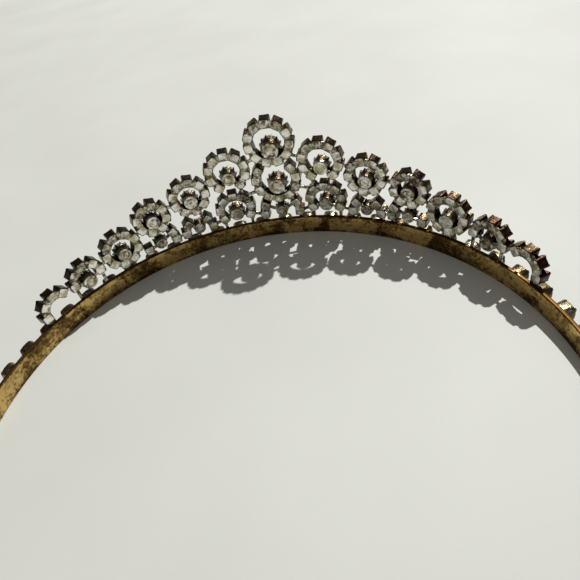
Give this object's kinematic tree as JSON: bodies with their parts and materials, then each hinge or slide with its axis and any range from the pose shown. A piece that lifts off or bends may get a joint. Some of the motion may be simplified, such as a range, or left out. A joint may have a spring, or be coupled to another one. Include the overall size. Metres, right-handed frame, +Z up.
{
  "type": "bridal tiara",
  "caption": "Open-backed bridal tiara: a flat metal band with a row of round stones and, above it, a peaked openwork of cup-chain rings that each hold a round stone.",
  "frame": {"origin": "on the surface it stands on, under the middle of the tiara's box", "axes": "+X across the band from ear to ear, +Y towards the front of the tiara, +Z up"},
  "size_m": [0.148, 0.1186, 0.0391],
  "materials": {
    "band_metal": "tarnished, satin, mottled brown and gold",
    "cup_metal": "worn silver-tone plating, bright with brown tarnish",
    "crystal": "clear faceted glass, foiled behind"
  },
  "bodies": {
    "root": {"band": "band_metal", "band_cup_chain": "cup_metal", "crown_loop": "cup_metal", "crown_stone": "crystal", "heart_loop": "cup_metal", "heart_stone": "crystal", "foot_loop": "cup_metal", "foot_stone": "crystal", "upper_1_loop_left": "cup_metal", "upper_1_stone_left": "crystal", "upper_1_loop_right": "cup_metal", "upper_1_stone_right": "crystal", "upper_2_loop_left": "cup_metal", "upper_2_stone_left": "crystal", "upper_2_loop_right": "cup_metal", "upper_2_stone_right": "crystal", "upper_3_loop_left": "cup_metal", "upper_3_stone_left": "crystal", "upper_3_loop_right": "cup_metal", "upper_3_stone_right": "crystal", "upper_4_loop_left": "cup_metal", "upper_4_stone_left": "crystal", "upper_4_loop_right": "cup_metal", "upper_4_stone_right": "crystal", "upper_5_loop_left": "cup_metal", "upper_5_stone_left": "crystal", "upper_5_loop_right": "cup_metal", "upper_5_stone_right": "crystal", "end_loop_left": "cup_metal", "end_loop_right": "cup_metal", "lower_1_loop_left": "cup_metal", "lower_1_stone_left": "crystal", "lower_1_loop_right": "cup_metal", "lower_1_stone_right": "crystal", "lower_2_loop_left": "cup_metal", "lower_2_stone_left": "crystal", "lower_2_loop_right": "cup_metal", "lower_2_stone_right": "crystal", "lower_3_loop_left": "cup_metal", "lower_3_stone_left": "crystal", "lower_3_loop_right": "cup_metal", "lower_3_stone_right": "crystal"}
  },
  "joints": []
}
